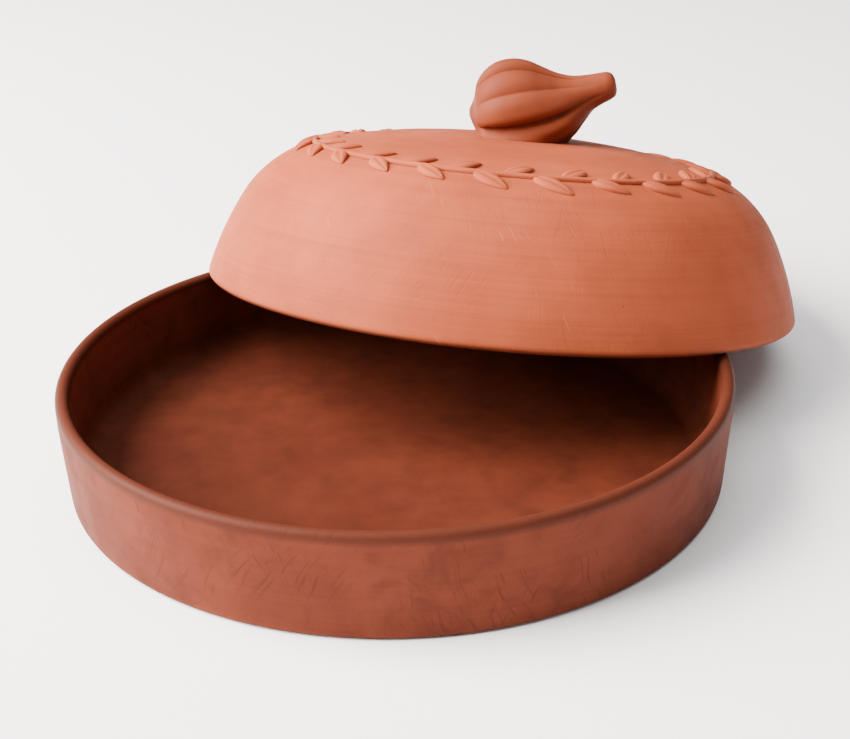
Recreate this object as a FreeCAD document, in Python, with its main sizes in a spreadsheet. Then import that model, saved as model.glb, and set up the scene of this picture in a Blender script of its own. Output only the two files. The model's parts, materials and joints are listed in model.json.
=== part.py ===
"""Terracotta bread warmer: a shallow round dish and a domed lid with a gourd-shaped knob.

Units are millimetres and +Z is up. The origin is the centre of the dish's flat foot.
The lid leans open: its rear edge stands on the table behind the dish and its lip lies on
the dish's lip at two places. The lid, its knob and its leaf wreath are drawn in the lid's
own frame, whose origin is the centre of the circle that the lid's lip rests on.
"""
import FreeCAD
import Part
import math
import os
import Sketcher

V = FreeCAD.Vector
doc = FreeCAD.newDocument("BreadWarmer")

# ---------------------------------------------------------------- driving dimensions
DRIVING = [
    ("rim_radius", "113.5", "outer radius of the dish's lip and of the lid's lip"),
    ("wall", "4.5", "thickness of both walls; the lips are rounded over the whole of it"),
    ("dish_height", "36", "height of the dish over its foot"),
    ("foot_radius", "111.8", "outer radius of the dish at the table, a little under the rim"),
    ("foot_edge", "2.2", "rounding of the dish's lower outer edge"),
    ("floor_depth", "5", "thickness of the dish's floor"),
    ("cove", "7", "inner rounding from the dish's floor to its wall"),
    ("lid_height", "60", "height of the lid over its own lip"),
    ("seat_flat", "20", "radius of the flat on the lid's crown that the knob stands on"),
    ("crown_round", "219", "radius of the crown's arc"),
    ("shoulder_round", "43.7", "radius of the shoulder's arc"),
    ("side_round", "128.7", "radius of the side wall's arc"),
    ("side_drop", "29", "depth of the side arc's centre under the lip"),
    ("lean_angle", "13.2", "tilt of the leaning lid, in degrees"),
    ("lean_turn", "63.5", "direction in which the lid is set back, in degrees from +X"),
    ("lip_gap", "0.304", "clearance left between the two lips where they cross"),
    ("table_gap", "0.2", "clearance left under the lid's lowest edge"),
    ("relief_rise", "1.8", "height of the leaf wreath over the lid"),
    ("wreath_radius", "76", "radius of the wreath's stem"),
    ("stem_width", "2.4", "width of the wreath's stem"),
    ("leaf_length", "15", "length of one leaf"),
    ("leaf_width", "6.6", "width of one leaf"),
    ("leaf_spread", "38", "angle of a leaf to the stem, in degrees"),
    ("leaf_pairs", "24", "number of leaves on each side of the stem"),
    ("gourd_length", "57", "length of the knob from blossom end to stem end"),
    ("gourd_core", "15.6", "radius of the gourd's body between its lobes"),
    ("gourd_middle", "19", "distance from the blossom end to the gourd's thickest place"),
    ("nub_round", "5", "radius of the blossom end's nub"),
    ("neck_round", "15", "radius of the hollow between body and stem"),
    ("stalk_radius", "5.4", "radius of the gourd's stalk"),
    ("stalk_edge", "2.6", "rounding of the stalk's end"),
    ("lobe_count", "8", "number of lobes round the gourd"),
    ("lobe_middle", "16.5", "distance from the blossom end to a lobe's thickest place"),
    ("lobe_end", "42", "distance from the blossom end to a lobe's point"),
    ("lobe_offset", "8.4", "distance of a lobe's thickest place from the gourd's axis"),
    ("lobe_close", "5", "distance of a lobe's point from the gourd's axis"),
    ("lobe_bulge", "9.6", "largest radius of a lobe about its own line"),
    ("gourd_rise", "12.5", "height of the gourd's axis over the crown at its thickest place"),
    ("gourd_pitch", "17", "rise of the gourd's axis towards the stalk, in degrees"),
    ("collar_radius", "18", "radius of the collar that joins the knob to the crown"),
    ("collar_top", "12.5", "radius of the collar where it meets the gourd"),
    ("knob_turn", "-10", "direction of the stalk about the lid's axis, in degrees from +X"),
]
DERIVED = [
    ("lip_round", "=wall / 2", "radius of the rounding of both lips"),
    ("lip_circle", "=rim_radius - lip_round", "radius of the circle along the middle of a lip"),
    ("ring_height", "=lip_round + table_gap + lip_circle * sin(lean_angle)",
     "height of the middle of the leaning lid's lip"),
    ("near_shift", "=(dish_height - lip_round + wall + lip_gap - ring_height) "
     "* (1 + cos(lean_angle)) / sin(lean_angle)", "setback of the lid if the lips crossed square"),
    ("lip_step", "=(wall + lip_gap) * sqrt(1 + (lip_circle * sin(lean_angle) / near_shift) ^ 2)",
     "height of the lid's lip over the dish's where they cross, more where they cross aslant"),
    ("lip_cross", "=(dish_height - lip_round + lip_step - ring_height) / sin(lean_angle)",
     "distance of the crossing from the lid's axis, down the slope of the lean"),
    ("lean_shift", "=lip_cross * (1 + cos(lean_angle))", "setback of the lid's lip circle"),
    ("lid_setback", "=lean_shift - lip_round * sin(lean_angle)", "setback of the lid's origin"),
    ("lid_rise", "=ring_height - lip_round * cos(lean_angle)", "height of the lid's origin"),
    ("relief_height", "=lid_height + relief_rise", "height that every leaf is trimmed from"),
    ("leaf_out", "=leaf_length * sin(leaf_spread)", "reach of a leaf across the stem"),
    ("leaf_along", "=leaf_length * cos(leaf_spread)", "reach of a leaf along the stem"),
    ("leaf_round", "=(leaf_length ^ 2 + leaf_width ^ 2) / (4 * leaf_width)",
     "radius of a leaf's two edges"),
    ("leaf_pitch", "=360 / leaf_pairs", "angle between leaves on one side"),
]

sheet = doc.addObject("Spreadsheet::Sheet", "Sizes")
for row, (alias, content, note) in enumerate(DRIVING + DERIVED, start=1):
    sheet.set(f"A{row}", alias)
    sheet.set(f"B{row}", content)
    sheet.set(f"C{row}", note)
    sheet.setAlias(f"B{row}", alias)
doc.recompute()


def size(alias):
    """The present value of a cell, used only to start a sketch near its solution."""
    return float(getattr(sheet, alias))


# ---------------------------------------------------------------- sketch helpers
def new_body(label):
    body = doc.addObject("PartDesign::Body", label)
    body.Label = label
    return body


def origin_feature(body, role):
    """One of the body's own origin planes or axes."""
    return [f for f in body.Origin.OriginFeatures if f.Role == role][0]


def new_sketch(body, name, plane):
    sketch = body.newObject("Sketcher::SketchObject", name)
    sketch.AttachmentSupport = [(origin_feature(body, plane), "")]
    sketch.MapMode = "FlatFace"
    return sketch


def line(sketch, start, end):
    return sketch.addGeometry(Part.LineSegment(V(*start, 0), V(*end, 0)), False)


def arc(sketch, centre, radius, start_deg, end_deg):
    """An arc that runs counter-clockwise between two angles."""
    circle = Part.Circle(V(*centre, 0), V(0, 0, 1), radius)
    return sketch.addGeometry(
        Part.ArcOfCircle(circle, math.radians(start_deg), math.radians(end_deg)), False)


def tie(sketch, kind, *what):
    return sketch.addConstraint(Sketcher.Constraint(kind, *what))


def drive(sketch, kind, expression, *what):
    """A dimension whose value is a formula of the sheet's cells."""
    number = sketch.addConstraint(Sketcher.Constraint(kind, *what))
    sketch.setExpression(f"Constraints[{number}]", expression)


def place_x(sketch, geometry, point, expression, start):
    """Distance of a point from the sketch's origin along its first axis."""
    drive(sketch, "DistanceX", expression, -1, 1, geometry, point, start)


def place_y(sketch, geometry, point, expression, start):
    """Distance of a point from the sketch's origin along its second axis."""
    drive(sketch, "DistanceY", expression, -1, 1, geometry, point, start)


def revolve(body, sketch, name, axis):
    feature = body.newObject("PartDesign::Revolution", name)
    feature.Profile = sketch
    feature.ReferenceAxis = (sketch, [axis])
    feature.Angle = 360
    return feature


def polar(body, name, features, axis, count_expression):
    """Copies of features evenly round an axis."""
    pattern = body.newObject("PartDesign::PolarPattern", name)
    pattern.Originals = features
    pattern.Axis = axis
    pattern.Angle = 360
    pattern.setExpression("Occurrences", count_expression)
    body.Tip = pattern
    return pattern


START, END, CENTRE = 1, 2, 3

# ---------------------------------------------------------------- dish
# Thrown dish: flat foot, nearly upright wall that opens a little to the rim, round lip.
dish = new_body("dish")
profile = new_sketch(dish, "DishProfile", "XZ_Plane")
rim, high = size("rim_radius"), size("dish_height")
foot, edge = size("foot_radius"), size("foot_edge")
lip, floor, cove = size("lip_round"), size("floor_depth"), size("cove")
inner = foot - size("wall")
base_line = line(profile, (0, 0), (foot - edge, 0))
edge_arc = arc(profile, (foot - edge, edge), edge, -90, -3)
outer_line = line(profile, (foot, edge), (rim, high - lip))
lip_arc = arc(profile, (rim - lip, high - lip), lip, -3, 177)
inner_line = line(profile, (rim - 2 * lip, high - lip), (inner, floor + cove))
cove_arc = arc(profile, (inner - cove, floor + cove), cove, -90, -3)
floor_line = line(profile, (inner - cove, floor), (0, floor))
axis_line = line(profile, (0, floor), (0, 0))
tie(profile, "Coincident", base_line, START, -1, 1)
tie(profile, "Horizontal", base_line)
tie(profile, "Tangent", base_line, END, edge_arc, START)
tie(profile, "Tangent", edge_arc, END, outer_line, START)
tie(profile, "Tangent", outer_line, END, lip_arc, START)
tie(profile, "Tangent", lip_arc, END, inner_line, START)
tie(profile, "Tangent", inner_line, END, cove_arc, END)
tie(profile, "Tangent", cove_arc, START, floor_line, START)
tie(profile, "Horizontal", floor_line)
tie(profile, "Coincident", floor_line, END, axis_line, START)
tie(profile, "Coincident", axis_line, END, -1, 1)
tie(profile, "Vertical", axis_line)
tie(profile, "Parallel", outer_line, inner_line)
drive(profile, "Radius", "Sizes.foot_edge", edge_arc, edge)
drive(profile, "Radius", "Sizes.lip_round", lip_arc, lip)
drive(profile, "Radius", "Sizes.cove", cove_arc, cove)
place_x(profile, edge_arc, CENTRE, "Sizes.foot_radius - Sizes.foot_edge", foot - edge)
place_x(profile, lip_arc, CENTRE, "Sizes.lip_circle", rim - lip)
place_y(profile, lip_arc, CENTRE, "Sizes.dish_height - Sizes.lip_round", high - lip)
place_y(profile, floor_line, END, "Sizes.floor_depth", floor)
revolve(dish, profile, "DishTurned", "V_Axis")


# ---------------------------------------------------------------- lid
def tangent_centres():
    """Centres of the crown, shoulder and side arcs, each arc tangent to the next."""
    crown, shoulder, side = size("crown_round"), size("shoulder_round"), size("side_round")
    drop = size("side_drop")
    top = V(size("seat_flat"), size("lid_height") - crown, 0)
    across = math.sqrt((side - lip) ** 2 - (lip + drop) ** 2)
    low = V(size("lip_circle") - across, -drop, 0)
    reach = (low - top).Length
    along = ((crown - shoulder) ** 2 - (side - shoulder) ** 2 + reach ** 2) / (2 * reach)
    aside = math.sqrt((crown - shoulder) ** 2 - along ** 2)
    unit = (low - top) / reach
    middle = top + unit * along + V(unit.y, -unit.x, 0) * aside
    if middle.x < low.x:
        middle = top + unit * along - V(unit.y, -unit.x, 0) * aside
    return top, middle, low


def bearing(start, end):
    """Angle in degrees of the line from one point to another."""
    return math.degrees(math.atan2(end.y - start.y, end.x - start.x))


CROWN, SHOULDER, SIDE = tangent_centres()
LIP = V(size("lip_circle"), lip, 0)
TURN_CROWN = bearing(CROWN, SHOULDER)
TURN_SHOULDER = bearing(SIDE, SHOULDER)
TURN_SIDE = bearing(SIDE, LIP)


def dome_arcs(sketch, extra):
    """Crown, shoulder and side arcs, set off from the lid's outer face by extra mm."""
    crown = arc(sketch, CROWN[:2], size("crown_round") + extra, TURN_CROWN, 90)
    shoulder = arc(sketch, SHOULDER[:2], size("shoulder_round") + extra,
                   TURN_SHOULDER, TURN_CROWN)
    side = arc(sketch, SIDE[:2], size("side_round") + extra, TURN_SIDE, TURN_SHOULDER)
    tie(sketch, "Tangent", crown, START, shoulder, END)
    tie(sketch, "Tangent", shoulder, START, side, END)
    return crown, shoulder, side


def pin_dome(sketch, crown, shoulder, side, rise_expression, rise):
    """Dimensions that fix three dome arcs that stand off the lid's outer face by a rise."""
    for curve, alias in ((crown, "crown_round"), (shoulder, "shoulder_round"),
                         (side, "side_round")):
        drive(sketch, "Radius", f"Sizes.{alias} + {rise_expression}", curve,
              size(alias) + rise)
    place_x(sketch, crown, END, "Sizes.seat_flat", size("seat_flat"))
    drive(sketch, "DistanceY", "Sizes.side_drop", side, CENTRE, -1, 1, size("side_drop"))


def add_flat(sketch, crown, height_expression, height):
    """The flat at the middle of the crown, from its edge to the lid's axis."""
    flat = line(sketch, (size("seat_flat"), height), (0, height))
    tie(sketch, "Tangent", crown, END, flat, START)
    tie(sketch, "Horizontal", flat)
    tie(sketch, "PointOnObject", flat, END, -2)
    if height_expression:
        place_y(sketch, flat, END, height_expression, height)
    return flat


# Thrown lid: crowned dome of even thickness that ends in the same round lip as the dish.
lid = new_body("lid")
profile = new_sketch(lid, "LidProfile", "XZ_Plane")
outer = dome_arcs(profile, 0)
inside = dome_arcs(profile, -size("wall"))
outer_flat = add_flat(profile, outer[0], "Sizes.lid_height", size("lid_height"))
inner_flat = add_flat(profile, inside[0], None, size("lid_height") - size("wall"))
lip_arc = arc(profile, LIP[:2], lip, TURN_SIDE + 180, TURN_SIDE + 360)
axis_line = line(profile, (0, size("lid_height")), (0, size("lid_height") - size("wall")))
tie(profile, "Coincident", axis_line, START, outer_flat, END)
tie(profile, "Coincident", axis_line, END, inner_flat, END)
tie(profile, "Tangent", outer[2], START, lip_arc, END)
tie(profile, "Tangent", inside[2], START, lip_arc, START)
for outer_curve, inner_curve in zip(outer, inside):
    tie(profile, "Coincident", outer_curve, CENTRE, inner_curve, CENTRE)
pin_dome(profile, *outer, "0", 0)
drive(profile, "Radius", "Sizes.lip_round", lip_arc, lip)
place_x(profile, lip_arc, CENTRE, "Sizes.lip_circle", size("lip_circle"))
place_y(profile, lip_arc, CENTRE, "Sizes.lip_round", lip)
revolve(lid, profile, "LidTurned", "V_Axis")


# ---------------------------------------------------------------- leaf wreath
# Raised band of leaves on a thin stem, moulded round the shoulder of the lid. Its plan is
# a tall upright cut-out, trimmed above by a dome one relief higher than the lid's outer
# face and below by the lid's outer face itself, so it lies on the lid without a gap.
def dome_body(label, rise_expression, rise):
    """A filled dome that stands off the lid's outer face by the given rise."""
    body = new_body(label)
    sketch = new_sketch(body, label + "Profile", "XZ_Plane")
    crown, shoulder, side = dome_arcs(sketch, rise)
    flat = add_flat(sketch, crown, f"Sizes.lid_height + {rise_expression}",
                    size("lid_height") + rise)
    lip_edge = arc(sketch, LIP[:2], lip + rise, -90, TURN_SIDE)
    under_line = line(sketch, (LIP.x, -rise), (0, -rise))
    middle_line = line(sketch, (0, -rise), (0, size("lid_height") + rise))
    tie(sketch, "Tangent", side, START, lip_edge, END)
    tie(sketch, "Tangent", lip_edge, START, under_line, START)
    tie(sketch, "Horizontal", under_line)
    tie(sketch, "Coincident", under_line, END, middle_line, START)
    tie(sketch, "PointOnObject", under_line, END, -2)
    tie(sketch, "Coincident", middle_line, END, flat, END)
    pin_dome(sketch, crown, shoulder, side, rise_expression, rise)
    place_x(sketch, lip_edge, CENTRE, "Sizes.lip_circle", LIP.x)
    place_y(sketch, lip_edge, CENTRE, "Sizes.lip_round", lip)
    revolve(body, sketch, label + "Turned", "V_Axis")
    return body


def leaf(body, name, side):
    """Pointed leaves round the stem, on its outer side for +1 and its inner side for -1."""
    sketch = new_sketch(body, name + "Outline", "XY_Plane")
    ring, out, along = size("wreath_radius"), side * size("leaf_out"), size("leaf_along")
    root, tip = V(ring, 0, 0), V(ring + out, along, 0)
    round_edge = size("leaf_round")
    across = V(root.y - tip.y, tip.x - root.x, 0).normalize()
    depth = math.sqrt(round_edge ** 2 - ((tip - root).Length / 2) ** 2)
    edges = []
    for hand, first, last in ((1, root, tip), (-1, tip, root)):
        centre = (root + tip) / 2 + across * hand * depth
        edges.append(arc(sketch, centre[:2], round_edge,
                         bearing(centre, first), bearing(centre, last)))
        drive(sketch, "Radius", "Sizes.leaf_round", edges[-1], round_edge)
    tie(sketch, "Coincident", edges[0], START, edges[1], END)
    tie(sketch, "Coincident", edges[0], END, edges[1], START)
    tie(sketch, "PointOnObject", edges[0], START, -1)
    place_x(sketch, edges[0], START, "Sizes.wreath_radius", ring)
    sign = "+" if side > 0 else "-"
    place_x(sketch, edges[0], END, f"Sizes.wreath_radius {sign} Sizes.leaf_out", tip.x)
    place_y(sketch, edges[0], END, "Sizes.leaf_along", tip.y)
    if side < 0:
        sketch.setExpression("AttachmentOffset.Rotation.Angle", "Sizes.leaf_pitch / 2")
    pad = body.newObject("PartDesign::Pad", name)
    pad.Profile = sketch
    pad.setExpression("Length", "Sizes.relief_height")
    doc.recompute()
    z_axis = (origin_feature(body, "Z_Axis"), [""])
    polar(body, name + "Round", [pad], z_axis, "Sizes.leaf_pairs")
    doc.recompute()


plan = new_body("WreathPlan")
stem = new_sketch(plan, "StemOutline", "XY_Plane")
for sign, way in (("+", 1), ("-", -1)):
    radius = size("wreath_radius") + way * size("stem_width") / 2
    ring = stem.addGeometry(Part.Circle(V(0, 0, 0), V(0, 0, 1), radius), False)
    tie(stem, "Coincident", ring, CENTRE, -1, 1)
    drive(stem, "Radius", f"Sizes.wreath_radius {sign} Sizes.stem_width / 2", ring, radius)
stem_pad = plan.newObject("PartDesign::Pad", "StemPad")
stem_pad.Profile = stem
stem_pad.setExpression("Length", "Sizes.relief_height")
doc.recompute()
leaf(plan, "LeafOut", 1)
leaf(plan, "LeafIn", -1)

trimmed = doc.addObject("Part::Common", "WreathTrimmed")
trimmed.Base = plan
trimmed.Tool = dome_body("OverDome", "Sizes.relief_rise", size("relief_rise"))
wreath = doc.addObject("Part::Cut", "Wreath")
wreath.Label = "wreath"
wreath.Base = trimmed
wreath.Tool = dome_body("UnderDome", "0", 0)

# ---------------------------------------------------------------- knob
# Gourd moulded by hand, lying on its side on a collar that is luted to the crown. Its own
# frame has its origin on the crown's flat, under the gourd's thickest place.
knob = new_body("knob")


def tilt_sketch(sketch):
    """Lay the sketch's first axis along the gourd, from its blossom end."""
    sketch.setExpression("AttachmentOffset.Base.x",
                         "-Sizes.gourd_middle * cos(Sizes.gourd_pitch)")
    sketch.setExpression("AttachmentOffset.Base.y",
                         "Sizes.gourd_rise - Sizes.gourd_middle * sin(Sizes.gourd_pitch)")
    sketch.setExpression("AttachmentOffset.Rotation.Angle", "Sizes.gourd_pitch")


gourd = new_sketch(knob, "GourdProfile", "XZ_Plane")
tilt_sketch(gourd)
nub, core, neck = size("nub_round"), size("gourd_core"), size("neck_round")
mid, stalk, bevel = size("gourd_middle"), size("stalk_radius"), size("stalk_edge")
long = size("gourd_length")
meet_x = (core ** 2 - mid ** 2) / (2 * (nub - mid))
meet = V(meet_x, math.sqrt(nub ** 2 - (meet_x - nub) ** 2), 0)
neck_mid = V(mid + math.sqrt((core + neck) ** 2 - (stalk + neck) ** 2), stalk + neck, 0)
neck_turn = bearing(V(mid, 0, 0), neck_mid)
nub_arc = arc(gourd, (nub, 0), nub, bearing(V(nub, 0, 0), meet), 180)
core_arc = arc(gourd, (mid, 0), core, neck_turn, bearing(V(mid, 0, 0), meet))
neck_arc = arc(gourd, neck_mid[:2], neck, neck_turn + 180, 270)
stalk_line = line(gourd, (neck_mid.x, stalk), (long - bevel, stalk))
bevel_arc = arc(gourd, (long - bevel, stalk - bevel), bevel, 0, 90)
end_line = line(gourd, (long, stalk - bevel), (long, 0))
axis_line = line(gourd, (long, 0), (0, 0))
tie(gourd, "Coincident", nub_arc, END, -1, 1)
tie(gourd, "Coincident", nub_arc, START, core_arc, END)
tie(gourd, "Tangent", core_arc, START, neck_arc, START)
tie(gourd, "Tangent", neck_arc, END, stalk_line, START)
tie(gourd, "Horizontal", stalk_line)
tie(gourd, "Tangent", stalk_line, END, bevel_arc, END)
tie(gourd, "Tangent", bevel_arc, START, end_line, START)
tie(gourd, "Vertical", end_line)
tie(gourd, "Coincident", end_line, END, axis_line, START)
tie(gourd, "Coincident", axis_line, END, -1, 1)
tie(gourd, "Horizontal", axis_line)
tie(gourd, "PointOnObject", nub_arc, CENTRE, -1)
tie(gourd, "PointOnObject", core_arc, CENTRE, -1)
for curve, alias in ((nub_arc, "nub_round"), (core_arc, "gourd_core"),
                     (neck_arc, "neck_round"), (bevel_arc, "stalk_edge")):
    drive(gourd, "Radius", "Sizes." + alias, curve, size(alias))
place_x(gourd, core_arc, CENTRE, "Sizes.gourd_middle", mid)
place_y(gourd, stalk_line, END, "Sizes.stalk_radius", stalk)
place_x(gourd, end_line, END, "Sizes.gourd_length", long)
revolve(knob, gourd, "GourdTurned", "H_Axis")
doc.recompute()

# One lobe is a ball that runs out to a point at the neck, turned about a line that leans
# in towards the gourd's axis, then copied round it.
lobe = new_sketch(knob, "LobeProfile", "XZ_Plane")
tilt_sketch(lobe)
ball = V(size("lobe_middle"), size("lobe_offset"), 0)
point = V(size("lobe_end"), size("lobe_close"), 0)
bulge = size("lobe_bulge")
lean = bearing(ball, point)
open_turn = math.degrees(math.acos(bulge / (point - ball).Length))
lobe_arc = arc(lobe, ball[:2], bulge, lean + open_turn, lean + 180)
leave = lobe.getPoint(lobe_arc, START)
back = lobe.getPoint(lobe_arc, END)
lobe_side = line(lobe, leave[:2], point[:2])
spine = line(lobe, point[:2], back[:2])
spin_line = lobe.addGeometry(Part.LineSegment(point, back), True)
tie(lobe, "Tangent", lobe_arc, START, lobe_side, START)
tie(lobe, "Coincident", lobe_side, END, spine, START)
tie(lobe, "Coincident", spine, END, lobe_arc, END)
tie(lobe, "PointOnObject", lobe_arc, CENTRE, spine)
tie(lobe, "Coincident", spin_line, START, spine, START)
tie(lobe, "Coincident", spin_line, END, spine, END)
drive(lobe, "Radius", "Sizes.lobe_bulge", lobe_arc, bulge)
place_x(lobe, lobe_arc, CENTRE, "Sizes.lobe_middle", ball.x)
place_y(lobe, lobe_arc, CENTRE, "Sizes.lobe_offset", ball.y)
place_x(lobe, spine, START, "Sizes.lobe_end", point.x)
place_y(lobe, spine, START, "Sizes.lobe_close", point.y)
lobe_solid = revolve(knob, lobe, "LobeTurned", "Axis0")
doc.recompute()
polar(knob, "LobesRound", [lobe_solid], (gourd, ["H_Axis"]), "Sizes.lobe_count")
doc.recompute()

collar = knob.newObject("PartDesign::AdditiveCone", "Collar")
collar.setExpression("Radius1", "Sizes.collar_radius")
collar.setExpression("Radius2", "Sizes.collar_top")
collar.setExpression("Height", "Sizes.gourd_rise")
doc.recompute()
whole = knob.Shape.Volume
under = knob.newObject("PartDesign::SubtractiveBox", "TrimUnder")
under.setExpression("Length", "Sizes.gourd_length * 2")
under.setExpression("Width", "Sizes.gourd_length * 2")
under.setExpression("Height", "Sizes.gourd_length")
under.setExpression("Placement.Base.x", "-Sizes.gourd_length")
under.setExpression("Placement.Base.y", "-Sizes.gourd_length")
under.setExpression("Placement.Base.z", "-Sizes.gourd_length")
doc.recompute()
if not knob.Shape.Volume < whole:
    raise RuntimeError("the trim under the knob cut nothing")

# ---------------------------------------------------------------- places
# The dish stands on the origin. The lid's pieces share the leaning frame; the knob stands
# on the crown's flat in it.
LEAN = ("placement(vector(Sizes.lid_setback * cos(Sizes.lean_turn); "
        "Sizes.lid_setback * sin(Sizes.lean_turn); Sizes.lid_rise); "
        "rotation(vector(-sin(Sizes.lean_turn); cos(Sizes.lean_turn); 0); Sizes.lean_angle))")
ON_CROWN = ("placement(vector(0; 0; Sizes.lid_height); "
            "rotation(vector(0; 0; 1); Sizes.knob_turn))")
lid.setExpression("Placement", LEAN)
wreath.setExpression("Placement", LEAN)
knob.setExpression("Placement", LEAN + " * " + ON_CROWN)
doc.recompute()

# ---------------------------------------------------------------- checks and output
NODES = [dish, lid, knob, wreath]
for thing in doc.Objects:
    if "Invalid" in thing.State or "Error" in thing.State:
        raise RuntimeError(f"{thing.Label} did not recompute: {thing.State}")
os.makedirs("parts", exist_ok=True)
for node in NODES:
    if node.Shape.isNull() or not node.Shape.isValid():
        raise RuntimeError(f"{node.Label} has no valid shape")
    node.Shape.exportStep(f"parts/{node.Label}.step")
    print(node.Label, "solids", len(node.Shape.Solids), "cm3", round(node.Shape.Volume / 1000, 2))
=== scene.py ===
import json
import math
from functools import partial

import bmesh
import bpy
import numpy as np
from mathutils import Matrix, Vector


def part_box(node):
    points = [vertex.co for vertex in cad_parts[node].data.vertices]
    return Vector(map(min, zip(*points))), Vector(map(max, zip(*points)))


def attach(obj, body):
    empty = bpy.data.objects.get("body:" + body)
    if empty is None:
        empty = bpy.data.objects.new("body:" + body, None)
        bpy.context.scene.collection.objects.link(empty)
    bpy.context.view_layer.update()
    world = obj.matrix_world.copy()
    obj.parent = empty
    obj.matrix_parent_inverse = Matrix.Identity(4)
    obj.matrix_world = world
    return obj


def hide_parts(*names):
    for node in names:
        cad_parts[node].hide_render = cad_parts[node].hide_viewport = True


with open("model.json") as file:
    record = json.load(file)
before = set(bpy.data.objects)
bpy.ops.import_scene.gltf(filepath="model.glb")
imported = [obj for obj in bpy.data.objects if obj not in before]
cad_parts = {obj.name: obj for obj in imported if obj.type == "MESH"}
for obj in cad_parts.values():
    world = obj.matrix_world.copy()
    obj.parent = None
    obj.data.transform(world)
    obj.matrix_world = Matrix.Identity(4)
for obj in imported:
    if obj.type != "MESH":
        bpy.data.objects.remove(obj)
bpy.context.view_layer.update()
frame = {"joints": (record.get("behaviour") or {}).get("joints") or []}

# ---------------------------------------------------------------- dish
# The dish is thrown from red earthenware and left unglazed: a flat floor, a nearly upright
# wall that opens a little to the rim, and a round lip smoothed with a wet finger. It stands
# free on its flat foot.
MM = 0.001
dish_low, dish_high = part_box("dish")
RIM = (dish_high.x - dish_low.x) / 2
DISH_HEIGHT = dish_high.z
WALL = 4.5 * MM
LIP = WALL / 2
LIP_CIRCLE = RIM - LIP
# The lip stands a hair proud of the wall under it.
LIP_SWELL = 0.12 * MM
FOOT = RIM - 1.7 * MM
FOOT_EDGE = 2.2 * MM
FLOOR = 5 * MM
COVE = 7 * MM
AROUND = 360
# Two points this near each other are one.
WELD = 0.005 * MM
# Lengths over which the thrower's rings fade in and out and the wall wobbles, 9 and 14 to a
# metre, and the length of a line that a rib leaves, 7 to a metre.
RING_RUN = 1 / 9
WOBBLE_RUN = 1 / 14
RIB_RUN = 1 / 7
# Sizes in the clay: cloudy firing colour, the smaller patches in it, grog, the spacing of the
# rib's lines, and the cells that may each hold a speck.
FIRING_CLOUD = 45 * MM
FIRING_PATCH = 9 * MM
GROG = 0.7 * MM
RIB_LINE = 1.6 * MM
SPECK_CELL = 5 * MM
# Drag marks: how far they run before they turn, how far they bend, and the patches of the
# surface that have them, and the hand's smudges.
STROKE_TURN = 28 * MM
STROKE_BEND = 11 * MM
STROKE_PATCH = 30 * MM
SMUDGE = 17 * MM


def linear(code):
    """The linear colour that a socket takes, from sRGB hex."""
    parts = [int(code[i:i + 2], 16) / 255 for i in (1, 3, 5)]
    return (*[p / 12.92 if p <= 0.04045 else ((p + 0.055) / 1.055) ** 2.4 for p in parts], 1)


def arc(centre, radius, start, end, count):
    """Points along an arc of a profile, each a distance from the axis and a height."""
    turns = np.radians(np.linspace(start, end, count))
    return [(centre[0] + radius * math.cos(a), centre[1] + radius * math.sin(a))
            for a in turns]


def run(start, end, spacing):
    """Points along a straight stretch of a profile, without its ends."""
    start, end = np.array(start), np.array(end)
    count = max(1, round(np.linalg.norm(end - start) / spacing))
    return [tuple(start + (end - start) * i / count) for i in range(1, count)]


def add(tree, kind, *values, **settings):
    """Add a node and give its first output. The kind is a node's type or, for arithmetic, its
    operation. Values go to its inputs in order, or by name in a dict; settings are its own."""
    arithmetic = "Node" not in kind
    made = tree.nodes.new("ShaderNodeMath" if arithmetic else kind)
    if arithmetic:
        made.operation = kind
    for name, value in settings.items():
        setattr(made, name, value)
    named = values[0] if values and isinstance(values[0], dict) else dict(enumerate(values))
    for key, value in named.items():
        socket = made.inputs[key]
        if isinstance(value, bpy.types.NodeSocket):
            tree.links.new(value, socket)
        else:
            socket.default_value = value
    return made.outputs[0] if made.outputs else None


def new_tree(name, inputs):
    """An empty geometry tree with named inputs; gives the tree and its inputs' sockets."""
    tree = bpy.data.node_groups.new(name, "GeometryNodeTree")
    tree.interface.new_socket("Geometry", in_out="OUTPUT", socket_type="NodeSocketGeometry")
    tree.interface.new_socket("Geometry", in_out="INPUT", socket_type="NodeSocketGeometry")
    for label, kind in inputs:
        tree.interface.new_socket(label, in_out="INPUT", socket_type="NodeSocket" + kind)
    return tree, tree.nodes.new("NodeGroupInput").outputs


def close_tree(tree, geometry, material):
    """Shade smooth, realize, set the material and hand the geometry out."""
    geometry = add(tree, "GeometryNodeSetShadeSmooth", {"Geometry": geometry})
    geometry = add(tree, "GeometryNodeRealizeInstances", {"Geometry": geometry})
    geometry = add(tree, "GeometryNodeSetMaterial", {"Geometry": geometry, "Material": material})
    add(tree, "NodeGroupOutput", geometry)


def grow(name, mesh, tree, values, place=None):
    """Run a geometry tree on a mesh and keep the result as a plain mesh object."""
    seed = bpy.data.objects.new(name + "_seed", mesh)
    bpy.context.scene.collection.objects.link(seed)
    modifier = seed.modifiers.new("grow", "NODES")
    modifier.node_group = tree
    for item in tree.interface.items_tree:
        if item.in_out == "INPUT" and item.name in values:
            modifier[item.identifier] = values[item.name]
    seed.update_tag()
    shown = seed.evaluated_get(bpy.context.evaluated_depsgraph_get())
    made = bpy.data.meshes.new_from_object(shown)
    bpy.data.objects.remove(seed)
    made.name = name
    if place:
        made.transform(place)
    piece = bpy.data.objects.new(name, made)
    bpy.context.scene.collection.objects.link(piece)
    return piece


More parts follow.
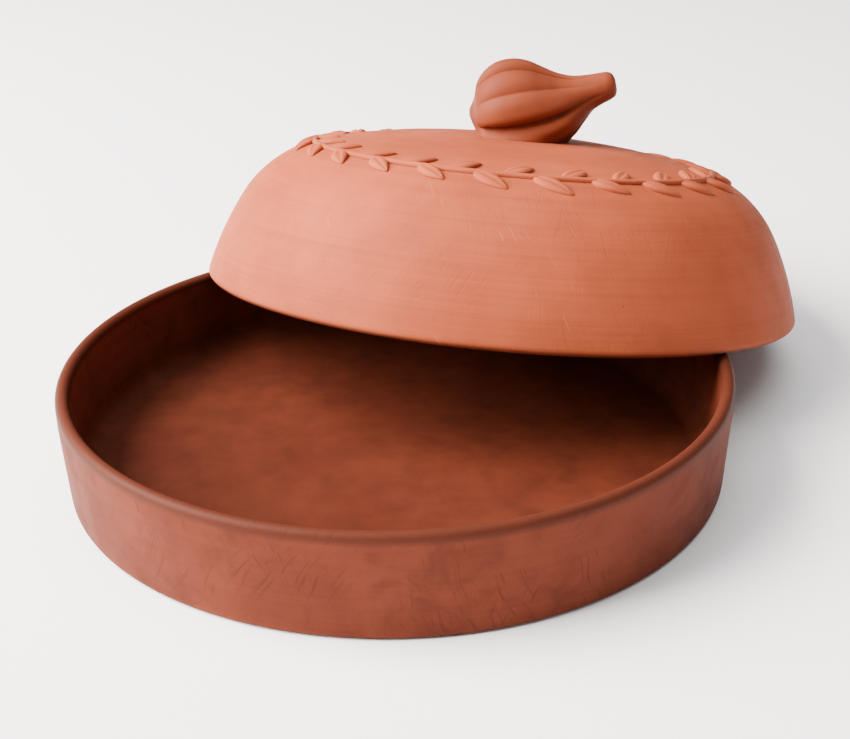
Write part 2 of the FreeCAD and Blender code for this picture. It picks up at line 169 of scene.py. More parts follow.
def outline(name, points, held):
    """A profile as a row of vertices; held gives how far a point keeps its exact place."""
    mesh = bpy.data.meshes.new(name)
    mesh.from_pydata([(r, 0, z) for r, z in points], [], [])
    lengths = [math.dist(a, b) for a, b in zip(points, points[1:])]
    along = mesh.attributes.new("along", "FLOAT", "POINT")
    along.data.foreach_set("value", np.concatenate([[0], np.cumsum(lengths)]))
    free = mesh.attributes.new("free", "FLOAT", "POINT")
    free.data.foreach_set("value", [1 - held(r, z) for r, z in points])
    return mesh


def turned_tree():
    """Turns an outline about the Z axis, with a thrower's rings and a slight wobble."""
    tree, given = new_tree("turned_clay", [
        ("Around", "Int"), ("Wobble", "Float"), ("Ring Spacing", "Float"),
        ("Ring Depth", "Float"), ("Seed", "Float"), ("Clay", "Material")])
    node = partial(add, tree)
    profile, around = given["Geometry"], given["Around"]
    rows = node("GeometryNodeAttributeDomainSize", {"Geometry": profile})
    columns = node("ADD", around, 1)
    geometry = node("GeometryNodeMeshGrid", {"Vertices X": rows, "Vertices Y": columns})
    index = node("GeometryNodeInputIndex")
    row = node("FLOOR", node("DIVIDE", node("ADD", index, 0.5), columns))
    column = node("SUBTRACT", index, node("MULTIPLY", row, columns))
    turn = node("MULTIPLY", node("DIVIDE", column, around), 2 * math.pi)

    def on_profile(field, kind):
        return node("GeometryNodeSampleIndex", {"Geometry": profile, "Value": field,
                                                "Index": row}, data_type=kind, domain="POINT")

    def stored(label):
        return node("GeometryNodeInputNamedAttribute", {"Name": label}, data_type="FLOAT")

    spot = on_profile(node("GeometryNodeInputPosition"), "FLOAT_VECTOR")
    spot = node("ShaderNodeSeparateXYZ", spot).node.outputs
    placed = node("ShaderNodeCombineXYZ", node("MULTIPLY", spot["X"], node("COSINE", turn)),
                  node("MULTIPLY", spot["X"], node("SINE", turn)), spot["Z"])
    for label in ("along", "free"):
        geometry = node("GeometryNodeStoreNamedAttribute", {
            "Geometry": geometry, "Name": label, "Value": on_profile(stored(label), "FLOAT")},
            data_type="FLOAT", domain="POINT")
    geometry = node("GeometryNodeSetPosition", {"Geometry": geometry, "Position": placed})
    geometry = node("GeometryNodeMergeByDistance", {"Geometry": geometry, "Distance": WELD})

    here = node("GeometryNodeInputPosition")
    flat = node("ShaderNodeSeparateXYZ", here).node.outputs
    ring = node("ADD", given["Seed"], node("DIVIDE", stored("along"), given["Ring Spacing"]))
    ring_place = node("ShaderNodeCombineXYZ", ring, node("MULTIPLY", flat["X"], 1 / RING_RUN),
                      node("MULTIPLY", flat["Y"], 1 / RING_RUN))
    rings = node("ShaderNodeTexNoise", {"Vector": ring_place, "Scale": 1.0, "Detail": 2.0})
    wobble = node("ShaderNodeTexNoise", {"Vector": here, "W": given["Seed"],
                                         "Scale": 1 / WOBBLE_RUN, "Detail": 1.0},
                  noise_dimensions="4D")
    lifts = [node("MULTIPLY", node("SUBTRACT", texture, 0.5), given[depth])
             for texture, depth in ((rings, "Ring Depth"), (wobble, "Wobble"))]
    swell = node("MULTIPLY", node("ADD", *lifts), stored("free"))
    offset = node("ShaderNodeVectorMath", {0: node("GeometryNodeInputNormal"), "Scale": swell},
                  operation="SCALE")
    geometry = node("GeometryNodeSetPosition", {"Geometry": geometry, "Offset": offset})
    geometry = node("GeometryNodeFlipFaces", {"Mesh": geometry})
    close_tree(tree, geometry, given["Clay"])
    return tree


def clay(name, shades, place=Matrix.Identity(4), rough=0.62, lines=1.0, chalk=0.0,
         scuffs=0.0, dark_lip_and_painted_shade_band=None, painted_shade_inside=None):
    """Unglazed red earthenware. Shades are dark, middle and light; place is the piece's own
    frame, in which turning lines lie level; rough, lines, chalk and scuffs say how much of
    each. A band or inside has its edges, in metres, and its shade. The inside is painted
    shade; a band darkens a lip, and on the lid it is painted shade along the lower edge.
    Gives the material."""
    material = bpy.data.materials.new(name)
    material.use_nodes = True
    node = partial(add, material.node_tree)
    where, turn, _ = place.decompose()
    own = node("ShaderNodeMapping", {
        "Vector": node("ShaderNodeTexCoord").node.outputs["Object"], "Location": where,
        "Rotation": turn.to_euler()}, vector_type="TEXTURE")
    spot = node("ShaderNodeSeparateXYZ", own).node.outputs
    reach = node("ShaderNodeVectorMath", node("ShaderNodeCombineXYZ", spot["X"], spot["Y"]),
                 operation="LENGTH").node.outputs["Value"]

    def mottle(size, detail, offset=(0, 0, 0), rough=0.5, bend=0.0):
        """Noise in the piece's own frame, with patches of this size along X, Y and Z."""
        size = size if isinstance(size, tuple) else (size,) * 3
        near = node("ShaderNodeMapping", own, offset, (0, 0, 0), [1 / side for side in size])
        return node("ShaderNodeTexNoise", {"Vector": near, "Scale": 1.0, "Detail": detail,
                                           "Roughness": rough, "Distortion": bend})

    dark, middle, light = [linear(code) for code in shades]
    cloud = mottle(FIRING_CLOUD, 3.0)
    patch = mottle(FIRING_PATCH, 4.0, (3, 1, 2))
    grain = mottle(GROG, 3.0, rough=0.7)
    drawn = mottle((RIB_RUN, RIB_RUN, RIB_LINE), 5.0, rough=0.7)
    # Iron specks and burnt-out pinholes, up to 0.8 mm across, in one cell out of six.
    cells = node("ShaderNodeTexVoronoi", {
        "Vector": node("ShaderNodeMapping", own, (0, 0, 0), (0, 0, 0), (1 / SPECK_CELL,) * 3),
        "Scale": 1.0})
    pick = node("ShaderNodeSeparateXYZ", cells.node.outputs["Color"])
    size = node("ShaderNodeMapRange", pick, 0.8, 1.0, -0.02, 0.085)
    speck = node("ShaderNodeMapRange", node("SUBTRACT", size, cells), 0.0, 0.03)

    # Washes of colour over the darkest shade, each an amount and a shade, the lowest first:
    # firing clouds and patches, grog, the rib's turning lines, and specks.
    washes = [(node("ShaderNodeMapRange", cloud, 0.36, 0.62), light),
              (0.5, middle),
              (node("ShaderNodeMapRange", patch, 0.45, 0.75, 0.0, 0.3), dark),
              (node("ShaderNodeMapRange", grain, 0.25, 0.75, 0.0, 0.28), light),
              (node("ShaderNodeMapRange", drawn, 0.5, 0.74, 0.0, 0.5 * lines), dark),
              (node("ShaderNodeMapRange", drawn, 0.5, 0.26, 0.0, 0.4 * lines), light),
              (node("MULTIPLY", speck, 0.8), linear("#2A130D"))]
    relief = node("MULTIPLY", grain, 0.3)
    relief = node("ADD", relief, node("MULTIPLY", drawn, 0.5 * lines))
    relief = node("SUBTRACT", relief, node("MULTIPLY", speck, 0.9))
    polish = node("ShaderNodeMapRange", patch, 0.3, 0.7, rough - 0.05, rough + 0.06)

    # The surface unrolled about the piece's axis, with its seam at the back.
    about = node("ARCTAN2", spot["X"], node("MULTIPLY", spot["Y"], -1))
    unrolled = node("ShaderNodeCombineXYZ", node("MULTIPLY", about, RIM), spot["Z"])

    def strokes(length, width, tilt, seed, fineness, kept):
        """Bent strokes of a tool or a fingernail, in some patches of an upright side."""
        bend = node("ShaderNodeVectorMath", {0: mottle(STROKE_TURN, 1.0).node.outputs[1],
                                             "Scale": STROKE_BEND}, operation="SCALE")
        bent = node("ShaderNodeVectorMath", unrolled, bend)
        drawn_out = node("ShaderNodeMapping", bent, (seed, seed, 0), (0, 0, tilt),
                         (length, width, 1), vector_type="TEXTURE")
        stroke = node("ShaderNodeTexNoise", {"Vector": drawn_out, "Scale": 1.0, "Detail": 1.0},
                      noise_dimensions="2D")
        stroke = node("ShaderNodeMapRange", stroke, fineness, fineness + 0.07)
        some = node("ShaderNodeMapRange", mottle(STROKE_PATCH, 3.0, (seed, 3, 4)),
                    kept, kept + 0.1)
        upright = node("ShaderNodeMapRange", reach, 0.6 * RIM, 0.8 * RIM)
        return node("MULTIPLY", stroke, node("MULTIPLY", some, upright))

    if chalk:
        # Pale fingernail and shelf scratches that show fresh clay.
        pale = strokes(16 * MM, 1.0 * MM, -0.9, 5.3, 0.74, 0.54)
        washes.append((node("MULTIPLY", pale, chalk), linear("#C98A70")))
    if scuffs:
        # Feathery drag marks that hold dirt, and brown smudges where hands took hold.
        mark = node("MAXIMUM", strokes(17 * MM, 1.2 * MM, 0.95, 1.0, 0.62, 0.48),
                    strokes(11 * MM, 1.0 * MM, 1.9, 8.0, 0.63, 0.48))
        smudge = node("ShaderNodeMapRange", mottle(SMUDGE, 5.0, (1, 9, 2), 0.62, 0.5),
                      0.5, 0.74, 0.0, 0.7)
        dirt = node("MAXIMUM", node("MULTIPLY", mark, 0.5), smudge)
        washes.append((node("MULTIPLY", dirt, scuffs), linear("#3C1A11")))
        relief = node("SUBTRACT", relief, node("MULTIPLY", mark, 0.4))
    if painted_shade_inside:
        # Inside, painted shade darkens the clay, more in some patches than in others.
        edge, shade = painted_shade_inside
        inside = node("MULTIPLY", node("ShaderNodeMapRange", reach, edge, edge - 1 * MM),
                      node("ShaderNodeMapRange", spot["Z"], 2 * MM, 3 * MM))
        shade_amount = node("ShaderNodeMapRange", patch, 0.2, 0.8, 0.5, 0.75)
        washes.append((node("MULTIPLY", inside, shade_amount), linear(shade)))
    if dark_lip_and_painted_shade_band:
        # Along the dish's lip the clay is darker and rubbed smooth with a wet finger; along the
        # lid's lower edge the darker, smoother band is painted shade.
        start, end, shade = dark_lip_and_painted_shade_band
        soft = node("MULTIPLY_ADD", patch, 0.8 * MM, spot["Z"])
        band = node("ShaderNodeMapRange", soft, start, end)
        washes.append((node("MULTIPLY", band, 0.85), linear(shade)))
        polish = node("ShaderNodeMix", {0: band, 2: polish, 3: rough - 0.1},
                      data_type="FLOAT")
    colour = dark
    for amount, shade in washes:
        colour = node("ShaderNodeMix", {0: amount, 6: colour, 7: shade},
                      data_type="RGBA").node.outputs[2]
    bump = node("ShaderNodeBump", {"Height": relief, "Strength": 0.55, "Distance": 0.12 * MM})
    shader = material.node_tree.nodes["Principled BSDF"]
    for label, value in (("Base Color", colour), ("Roughness", polish), ("Normal", bump)):
        material.node_tree.links.new(value, shader.inputs[label])
    shader.inputs["Specular IOR Level"].default_value = 0.06
    return material


wall_lean = math.degrees(math.atan2(RIM - FOOT, DISH_HEIGHT - FOOT_EDGE - LIP))
inner_foot = FOOT - WALL
neck_height = DISH_HEIGHT - 7.5 * MM
dish_points = (
    [(0, 0)] + run((0, 0), (FOOT - FOOT_EDGE, 0), 4 * MM)
    + arc((FOOT - FOOT_EDGE, FOOT_EDGE), FOOT_EDGE, -90, -wall_lean, 9)
    + run((FOOT, FOOT_EDGE), (RIM - LIP_SWELL, neck_height), 0.8 * MM)
    + [(RIM - LIP_SWELL, neck_height), (RIM - LIP_SWELL, neck_height + 1.6 * MM),
       (RIM - 0.6 * LIP_SWELL, neck_height + 3.2 * MM)]
    + arc((LIP_CIRCLE, DISH_HEIGHT - LIP), LIP, 0, 180, 25)
    + run((RIM - WALL, DISH_HEIGHT - LIP), (inner_foot, FLOOR + COVE), 0.8 * MM)
    + arc((inner_foot - COVE, FLOOR + COVE), COVE, 0, -90, 14)
    + run((inner_foot - COVE, FLOOR), (0, FLOOR), 1.6 * MM) + [(0, FLOOR)])


def held_dish(distance, height):
    """The foot and the lip keep their exact place, because the dish stands and seats there."""
    by_foot = 1 - min(1, height / (4 * MM)) if distance > FOOT - WALL or height < FLOOR else 0
    by_lip = 1 - min(1, max(0, DISH_HEIGHT - height - LIP) / (4 * MM))
    return max(by_foot, by_lip)


# Red earthenware, thrown and smoothed: a dry matt red, darker and smoother along the rim,
# with painted shade inside, and drag marks and smudges from use.
dish_clay = clay("unglazed_red_earthenware_thrown", ("#4B2015", "#5B2819", "#6C3322"),
                 rough=0.6, lines=0.5, scuffs=0.8,
                 dark_lip_and_painted_shade_band=(DISH_HEIGHT - 3.6 * MM, DISH_HEIGHT - 1.9 * MM, "#431F14"),
                 painted_shade_inside=(inner_foot + 0.5 * MM, "#35150B"))
turned = turned_tree()
dish = grow("dish_turned", outline("dish_outline", dish_points, held_dish), turned, {
    "Around": AROUND, "Wobble": 0.55 * MM, "Ring Spacing": 3.2 * MM,
    "Ring Depth": 0.16 * MM, "Seed": 3.0, "Clay": dish_clay})
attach(dish, "dish_body")
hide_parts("dish")

# ---------------------------------------------------------------- lid
# The lid is a separate thrown dome: a crowned top, a round shoulder and a side that falls
# nearly upright to a plain round lip, the same as the dish's. It only lies in place: here
# it leans with its lip on the dish and its rear edge on the table.
LID_HEIGHT = 60 * MM
SEAT_FLAT = 20 * MM
CROWN_ROUND = 219 * MM
SHOULDER_ROUND = 43.7 * MM
SIDE_ROUND = 128.7 * MM
SIDE_DROP = 29 * MM
LIP_GAP = 0.35 * MM

joint = frame["joints"][0]
pivot = Matrix.Translation(joint["pos_m"])
open_turn = Matrix.Rotation(-math.radians(joint["range_deg"][1]), 4, Vector(joint["axis"]))
ON_RIM = Matrix.Translation((0, 0, DISH_HEIGHT + LIP_GAP))
LEAN = pivot @ open_turn @ pivot.inverted() @ ON_RIM


def dome_centres():
    """Centres of the crown's, shoulder's and side's arcs, each arc tangent to the next."""
    top = Vector((SEAT_FLAT, LID_HEIGHT - CROWN_ROUND))
    across = math.sqrt((SIDE_ROUND - LIP) ** 2 - (LIP + SIDE_DROP) ** 2)
    low = Vector((LIP_CIRCLE - across, -SIDE_DROP))
    reach = (low - top).length
    first, second = CROWN_ROUND - SHOULDER_ROUND, SIDE_ROUND - SHOULDER_ROUND
    along = (first ** 2 - second ** 2 + reach ** 2) / (2 * reach)
    unit = (low - top) / reach
    aside = Vector((-unit.y, unit.x)) * math.sqrt(first ** 2 - along ** 2)
    return top, max(top + unit * along + aside, top + unit * along - aside,
                    key=lambda place: place.x), low


def bearing(start, end):
    return math.degrees(math.atan2(end.y - start.y, end.x - start.x))


crown, shoulder, side = dome_centres()
turn_crown = bearing(crown, shoulder)
turn_shoulder = bearing(side, shoulder)
turn_side = bearing(side, Vector((LIP_CIRCLE, LIP)))


def dome_side(inset):
    """The dome's outline from its axis down to the lip, set in from the outer face."""
    top = LID_HEIGHT - inset
    return ([(0, top)] + run((0, top), (SEAT_FLAT, top), 2 * MM)
            + arc(crown, CROWN_ROUND - inset, 90, turn_crown, 26)[:-1]
            + arc(shoulder, SHOULDER_ROUND - inset, turn_crown, turn_shoulder, 44)[:-1]
            + arc(side, SIDE_ROUND - inset, turn_shoulder, turn_side, 40)[:-1])


outer_side = dome_side(0)
lid_lip = arc((LIP_CIRCLE, LIP), LIP, turn_side + 180, turn_side + 360, 25)
lid_points = dome_side(WALL) + lid_lip + outer_side[::-1]


def held_lid(distance, height):
    """The lip keeps its place where it seats, and the crown where the knob stands."""
    by_lip = 1 - min(1, max(0, height - LIP) / (5 * MM))
    return max(by_lip, 1 - min(1, max(0, distance - SEAT_FLAT) / (8 * MM)))


# The same earthenware, drier and paler, with fine level turning lines that catch the light,
# and painted shade along the lower edge of its lip.
lid_clay = clay("unglazed_earthenware_fine_turned", ("#7F3922", "#8E4127", "#9E4C30"),
                place=LEAN, rough=0.64, lines=1.0, chalk=0.3, scuffs=0.12,
                dark_lip_and_painted_shade_band=(2.2 * MM, 1.2 * MM, "#5E2D1D"))
lid = grow("lid_turned", outline("lid_outline", lid_points, held_lid), turned, {
    "Around": AROUND, "Wobble": 0.9 * MM, "Ring Spacing": 3.6 * MM,
    "Ring Depth": 0.15 * MM, "Seed": 11.0, "Clay": lid_clay}, LEAN)
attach(lid, "lid_body")
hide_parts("lid")

# ---------------------------------------------------------------- wreath
# A garland of leaves on a thin stem stands up from the shoulder of the lid. It is pressed
# in a mould from the same clay, laid on with slip and fired with the lid.
WREATH_RADIUS = 76 * MM
RISE = 1.8 * MM
STEM_WIDTH = 2.4 * MM
LEAF_LENGTH = 15 * MM
LEAF_WIDTH = 6.6 * MM
LEAF_SPREAD = math.radians(38)
LEAF_PAIRS = 24
SUNK = 0.5 * MM


def wreath_tree():
    """Lays leaves along a straight stem, then wraps the strip round the lid's outline."""
    tree, given = new_tree("leaf_wreath", [
        ("Pairs", "Int"), ("Ring", "Float"), ("Start", "Float"), ("Leaf Length", "Float"),
        ("Leaf Width", "Float"), ("Spread", "Float"), ("Stem Width", "Float"),
        ("Rise", "Float"), ("Sunk", "Float"), ("Seed", "Int"), ("Clay", "Material")])
    node = partial(add, tree)
    strip = node("MULTIPLY", given["Ring"], 2 * math.pi)
    pitch = node("DIVIDE", strip, given["Pairs"])

    def blade(length, width, taper, rise, rows, columns, vein):
        """A closed strip along X: taper 0 keeps its width, 1 draws it to a point each end."""
        grid = node("GeometryNodeMeshGrid", {"Vertices X": rows, "Vertices Y": columns})
        index = node("GeometryNodeInputIndex")
        row = node("FLOOR", node("DIVIDE", node("ADD", index, 0.5), columns))
        column = node("SUBTRACT", index, node("MULTIPLY", row, columns))
        share = node("DIVIDE", row, rows - 1)
        turn = node("MULTIPLY", column, 2 * math.pi / (columns - 1))
        swell = node("SINE", node("MULTIPLY", node("POWER", share, 0.8), math.pi))
        swell = node("POWER", node("MAXIMUM", swell, 0.0), 0.75 * taper)
        across = node("COSINE", turn)
        up = node("SINE", turn)
        in_vein = node("GREATER_THAN", 0.09, node("ABSOLUTE", across))
        top = node("POWER", node("MAXIMUM", up, 0.0), 0.55)
        top = node("MULTIPLY", top, node("SUBTRACT", 1.0, node("MULTIPLY", vein, in_vein)))
        top = node("MULTIPLY", node("MULTIPLY", top, rise), node("POWER", swell, 0.7))
        under = node("MULTIPLY", node("MINIMUM", up, 0.0), given["Sunk"])
        aside = node("MULTIPLY", node("MULTIPLY", across, swell), node("MULTIPLY", width, 0.5))
        spot = node("ShaderNodeCombineXYZ", node("MULTIPLY", share, length), aside,
                    node("ADD", top, under))
        shape = node("GeometryNodeSetPosition", {"Geometry": grid, "Position": spot})
        return node("GeometryNodeMergeByDistance", {"Geometry": shape, "Distance": 4 * WELD})

    leaf = blade(given["Leaf Length"], given["Leaf Width"], 1.0, given["Rise"], 19, 25, 0.45)
    stem = blade(strip, given["Stem Width"], 0.0, node("MULTIPLY", given["Rise"], 0.8),
                 721, 13, 0.0)
    joined = [stem]
    for number, side_sign in enumerate((1, -1)):
        places = node("GeometryNodeMeshLine", {
            "Count": given["Pairs"],
            "Start Location": node("ShaderNodeCombineXYZ",
                                   node("MULTIPLY", pitch, 0.5 * number)),
            "Offset": node("ShaderNodeCombineXYZ", pitch)}, mode="OFFSET")
        loose = node("FunctionNodeRandomValue", {
            "Min": -0.12, "Max": 0.12, "Seed": node("ADD", given["Seed"], number)},
            data_type="FLOAT").node.outputs[1]
        lean = node("ADD", node("MULTIPLY", given["Spread"], side_sign), loose)
        scale = node("ADD", 1.0, node("MULTIPLY", loose, 0.9))
        joined.append(node("GeometryNodeInstanceOnPoints", {
            "Points": places, "Instance": leaf,
            "Rotation": node("ShaderNodeCombineXYZ", {"Z": lean}),
            "Scale": node("ShaderNodeCombineXYZ", scale, scale, 1.0)}))
    flat = node("GeometryNodeJoinGeometry")
    for item in joined:
        tree.links.new(item, flat.node.inputs[0])
    flat = node("GeometryNodeRealizeInstances", {"Geometry": flat})

    here = node("ShaderNodeSeparateXYZ", node("GeometryNodeInputPosition")).node.outputs
    path = node("GeometryNodeMeshToCurve", {"Mesh": given["Geometry"]})
    sample = node("GeometryNodeSampleCurve", {
        "Curves": path, "Length": node("ADD", given["Start"], here["Y"])},
        mode="LENGTH").node.outputs
    on_line = node("ShaderNodeSeparateXYZ", sample["Position"]).node.outputs
    heading = node("ShaderNodeSeparateXYZ", sample["Tangent"]).node.outputs
    distance = node("SUBTRACT", on_line["X"], node("MULTIPLY", heading["Z"], here["Z"]))
    height = node("MULTIPLY_ADD", heading["X"], here["Z"], on_line["Z"])
    turn = node("DIVIDE", here["X"], given["Ring"])
    wrapped = node("ShaderNodeCombineXYZ", node("MULTIPLY", distance, node("COSINE", turn)),
                   node("MULTIPLY", distance, node("SINE", turn)), height)
    shape = node("GeometryNodeSetPosition", {"Geometry": flat, "Position": wrapped})
    shape = node("GeometryNodeMergeByDistance", {"Geometry": shape, "Distance": WELD})
    close_tree(tree, shape, given["Clay"])
    return tree


def length_to(points, distance):
    """Length of an outline from its first point to where it is that far from the axis."""
    gone = 0
    for start, end in zip(points, points[1:]):
        if end[0] >= distance:
            return gone + math.dist(start, end) * (distance - start[0]) / (end[0] - start[0])
        gone += math.dist(start, end)


lid_line = bpy.data.meshes.new("lid_line")
lid_line.from_pydata([(r, 0, z) for r, z in outer_side],
                     [(i, i + 1) for i in range(len(outer_side) - 1)], [])
# Slip-joined clay: a touch lighter than the lid, as rubbed, raised clay is, and even.
wreath_clay = clay("slip_joined_earthenware_relief", ("#823A23", "#93442A", "#A35034"),
                   place=LEAN, rough=0.6, lines=0.15)
wreath = grow("wreath_leaves", lid_line, wreath_tree(), {
    "Pairs": LEAF_PAIRS, "Ring": WREATH_RADIUS,
    "Start": length_to(outer_side, WREATH_RADIUS), "Leaf Length": LEAF_LENGTH,
    "Leaf Width": LEAF_WIDTH, "Spread": LEAF_SPREAD, "Stem Width": STEM_WIDTH,
    "Rise": RISE, "Sunk": SUNK, "Seed": 4, "Clay": wreath_clay}, LEAN)
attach(wreath, "lid_body")
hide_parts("wreath")

# ---------------------------------------------------------------- knob
# The knob is a ribbed gourd lying on its side, modelled by hand in the same clay. Its
# belly is pressed onto the crown and luted with slip, and its stalk points to the right.
GOURD_LENGTH = 57 * MM
GOURD_MIDDLE = 19 * MM
GOURD_RISE = 12.5 * MM
GOURD_PITCH = math.radians(17)
KNOB_TURN = math.radians(-10)
RIBS = 8
RIB_START = math.radians(-16)
# Depth of the valleys as a share of the radius, how narrow they are, and how much deeper
# every other one is.
VALLEY_DEPTH = 0.17
VALLEY_SHARPNESS = 1.7
VALLEY_TURNS = 0.55
# The valleys run from near the blossom end to near the stalk's end, in shares of the length.
VALLEY_FROM = 0.02
VALLEY_DEEP_AT = 0.12
VALLEY_TO = 0.93
VALLEY_SHALLOW_OVER = 0.3
# The foot is cut off just under the crown, and flares out where it is luted on.
FOOT_SUNK = 0.3 * MM
FILLET = 3.2 * MM
FLARE = 1.2 * MM
FOOT_CENTRE = 2 * MM
FOOT_CORE = 8 * MM
ON_CROWN = LEAN @ Matrix.Translation((0, 0, LID_HEIGHT)) @ Matrix.Rotation(KNOB_TURN, 4, "Z")

# Distance from the blossom end and radius, in millimetres, over the gourd's back and belly.
BACK = [(0, 0), (0.7, 2.6), (2.2, 4.6), (3.4, 6.6), (5.4, 11.4), (9, 15.2), (14, 17.5),
        (20, 17.7), (26, 15.7), (31, 12.3), (36, 8.9), (41, 6.7), (47, 5.7), (52, 5.4),
        (54.4, 5.2), (56.1, 4.3), (56.9, 2.6), (57.1, 0)]
BELLY = [(0, 0), (0.7, 3.4), (2.0, 7.6), (3.2, 10.6), (5.4, 14.0), (9, 16.6), (14, 18.3),
         (20, 19.2), (27, 19.2), (33, 18.0), (38, 15.8), (43, 11.3), (47, 7.8), (51, 6.2),
         (54.4, 5.2), (56.1, 4.3), (56.9, 2.6), (57.1, 0)]


def through(points, count):
    """A smooth curve through points, evenly spread along them."""
    points = np.array(points, float)
    lengths = np.concatenate([[0], np.cumsum(np.linalg.norm(np.diff(points, axis=0), axis=1))])
    slopes = np.gradient(points, lengths, axis=0)
    made = []
    for place in np.linspace(0, lengths[-1], count):
        i = min(max(np.searchsorted(lengths, place) - 1, 0), len(points) - 2)
        gap = lengths[i + 1] - lengths[i]
        s = (place - lengths[i]) / gap
        made.append((2 * s ** 3 - 3 * s ** 2 + 1) * points[i]
                    + (s ** 3 - 2 * s ** 2 + s) * gap * slopes[i]
                    + (3 * s ** 2 - 2 * s ** 3) * points[i + 1]
                    + (s ** 3 - s ** 2) * gap * slopes[i + 1])
    return np.array(made)


def gourd_mesh(rows=190, columns=240):
    """The gourd in its own frame: X along it from the blossom end, Z over its back. Its
    section goes smoothly from the back's outline to the belly's."""
    back, belly = through(BACK, rows) * MM, through(BELLY, rows) * MM
    points = []
    for i in range(rows):
        for j in range(columns):
            turn = 2 * math.pi * j / columns
            down = (1 - math.cos(turn)) / 2
            down = down * down * (3 - 2 * down)
            spot = back[i] * (1 - down) + belly[i] * down
            share = spot[0] / GOURD_LENGTH
            valley = 1 - abs(math.cos(RIBS / 2 * (turn - RIB_START) + math.pi / 2))
            fade = (min(1, max(0, share - VALLEY_FROM) / VALLEY_DEEP_AT)
                    * min(1, max(0, VALLEY_TO - share) / VALLEY_SHALLOW_OVER))
            depth = VALLEY_DEPTH * (1 - VALLEY_TURNS * math.cos(RIBS / 2 * (turn - RIB_START)))
            radius = spot[1] * (1 - depth * fade * valley ** VALLEY_SHARPNESS)
            points.append((spot[0], -radius * math.sin(turn), radius * math.cos(turn)))
    mesh = bpy.data.meshes.new("gourd")
    faces = []
    for i in range(rows - 1):
        for j in range(columns):
            k = (j + 1) % columns
            faces.append((i * columns + j, i * columns + k,
                          (i + 1) * columns + k, (i + 1) * columns + j))
    mesh.from_pydata(points, [], faces)
    return mesh


def seat_on_crown(mesh):
    """Close the gourd's ends, cut it off at the crown and flare its foot into a fillet."""
    shape = bmesh.new()
    shape.from_mesh(mesh)
    bmesh.ops.remove_doubles(shape, verts=shape.verts, dist=2 * WELD)
    pitch = Matrix.Rotation(-GOURD_PITCH, 4, "Y")
    middle = Matrix.Translation((0, 0, GOURD_RISE))
    bmesh.ops.transform(shape, verts=shape.verts,
                        matrix=middle @ pitch @ Matrix.Translation((-GOURD_MIDDLE, 0, 0)))
    everything = shape.verts[:] + shape.edges[:] + shape.faces[:]
    cut = bmesh.ops.bisect_plane(shape, geom=everything, plane_co=(0, 0, -FOOT_SUNK),
                                 plane_no=(0, 0, -1), clear_outer=True)
    rim = [e for e in cut["geom_cut"] if isinstance(e, bmesh.types.BMEdge)]
    bmesh.ops.holes_fill(shape, edges=rim, sides=0)
    for vertex in shape.verts:
        low = 1 - min(1, max(0, vertex.co.z) / FILLET)
        outwards = Vector((vertex.co.x - FOOT_CENTRE, vertex.co.y, 0))
        if low > 0 and outwards.length > FOOT_CORE:
            vertex.co += outwards.normalized() * (low ** 2.2 * FLARE)
    bmesh.ops.recalc_face_normals(shape, faces=shape.faces)
    shape.to_mesh(mesh)
    shape.free()
    mesh.polygons.foreach_set("use_smooth", [True] * len(mesh.polygons))
    mesh.transform(ON_CROWN)


# The same clay, smoothed with a wet thumb: fine, a little darker, and without turning lines.
knob_clay = clay("thumb_smoothed_earthenware", ("#582616", "#6D311D", "#7E3C26"),
                 place=ON_CROWN, rough=0.52, lines=0.0, scuffs=0.15)
knob_mesh = gourd_mesh()
seat_on_crown(knob_mesh)
knob_mesh.materials.append(knob_clay)
knob = bpy.data.objects.new("knob_gourd", knob_mesh)
bpy.context.scene.collection.objects.link(knob)
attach(knob, "lid_body")
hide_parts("knob")

# ---------------------------------------------------------------- floor, light and camera
# A plain white paper floor, a large soft window at the upper left, a weak fill from the
# front and an even, soft light from the ceiling.
FLOOR_SPAN = 40.0
half = FLOOR_SPAN / 2
floor_mesh = bpy.data.meshes.new("floor")
floor_mesh.from_pydata([(-half, -half, 0), (half, -half, 0), (half, half, 0),
                        (-half, half, 0)], [], [(0, 1, 2, 3)])
floor = bpy.data.objects.new("floor", floor_mesh)
bpy.context.scene.collection.objects.link(floor)
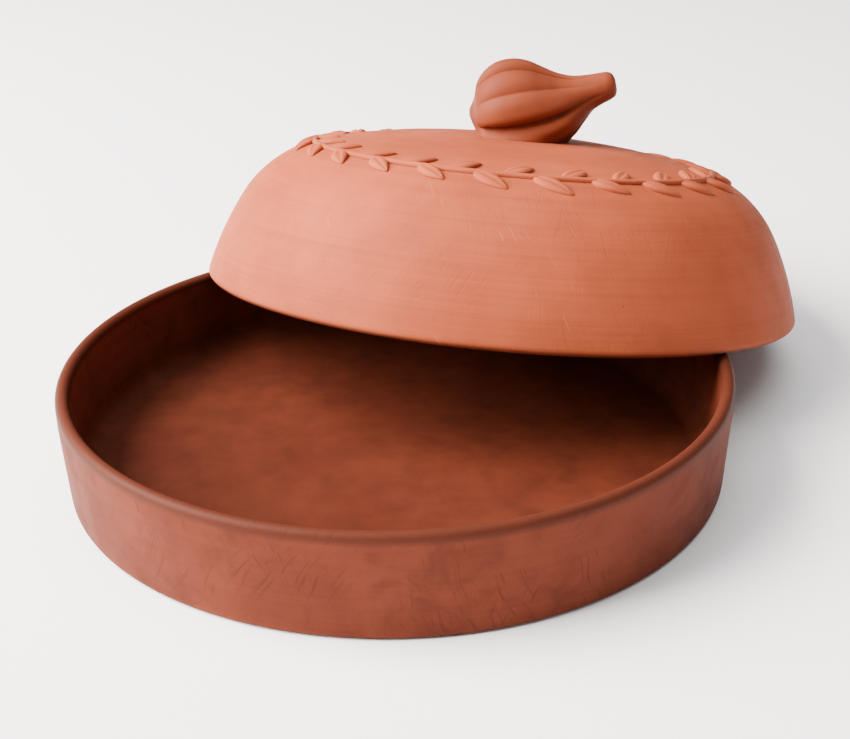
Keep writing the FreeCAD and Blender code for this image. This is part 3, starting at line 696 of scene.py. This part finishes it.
# Matt white paper: gives a soft shadow and a clean, even ground.
paper = bpy.data.materials.new("white_paper_sweep")
paper.use_nodes = True
paper_shader = paper.node_tree.nodes["Principled BSDF"]
paper_shader.inputs["Base Color"].default_value = linear("#FAF8F8")
paper_shader.inputs["Roughness"].default_value = 0.9
floor_mesh.materials.append(paper)


def soft_light(name, place, aim, width, height, watts, tint):
    """A rectangular lamp that stands at a place and points at another."""
    light = bpy.data.lights.new(name, "AREA")
    light.shape = "RECTANGLE"
    light.size, light.size_y, light.energy = width, height, watts
    light.color = linear(tint)[:3]
    lamp = bpy.data.objects.new(name, light)
    lamp.location = place
    lamp.rotation_euler = (Vector(aim) - Vector(place)).to_track_quat("-Z", "Y").to_euler()
    bpy.context.scene.collection.objects.link(lamp)


soft_light("window", (-1.15, -0.05, 0.95), (0, 0.05, 0.06), 1.3, 1.3, 185, "#FFF9F4")
soft_light("front_fill", (0.2, -1.7, 0.7), (0, 0, 0.05), 1.2, 0.8, 2, "#FFFFFF")
ceiling = bpy.data.lights.new("ceiling", "SUN")
ceiling.energy = 2.4
ceiling.angle = math.radians(60)
bpy.context.scene.collection.objects.link(bpy.data.objects.new("ceiling", ceiling))
world = bpy.data.worlds.new("studio")
world.use_nodes = True
background = world.node_tree.nodes["Background"]
background.inputs["Color"].default_value = (1, 1, 1, 1)
background.inputs["Strength"].default_value = 0.3
bpy.context.scene.world = world

# The camera stands in front and above; its distances follow the rim's radius.
LENS = 63.5
CAMERA_PLACE = Vector((0, -4.070, 2.208)) * RIM
CAMERA_AIM = Vector((0.0953, 0.3576, 0.1120)) * RIM
CAMERA_ROLL = math.radians(-0.92)
camera_data = bpy.data.cameras.new("camera")
camera_data.lens = LENS
camera_data.sensor_width = 36
camera = bpy.data.objects.new("camera", camera_data)
aimed = (CAMERA_AIM - CAMERA_PLACE).to_track_quat("-Z", "Y").to_matrix()
camera.matrix_world = (Matrix.Translation(CAMERA_PLACE)
                       @ (aimed @ Matrix.Rotation(CAMERA_ROLL, 3, "Z")).to_4x4())
bpy.context.scene.collection.objects.link(camera)
bpy.context.scene.camera = camera
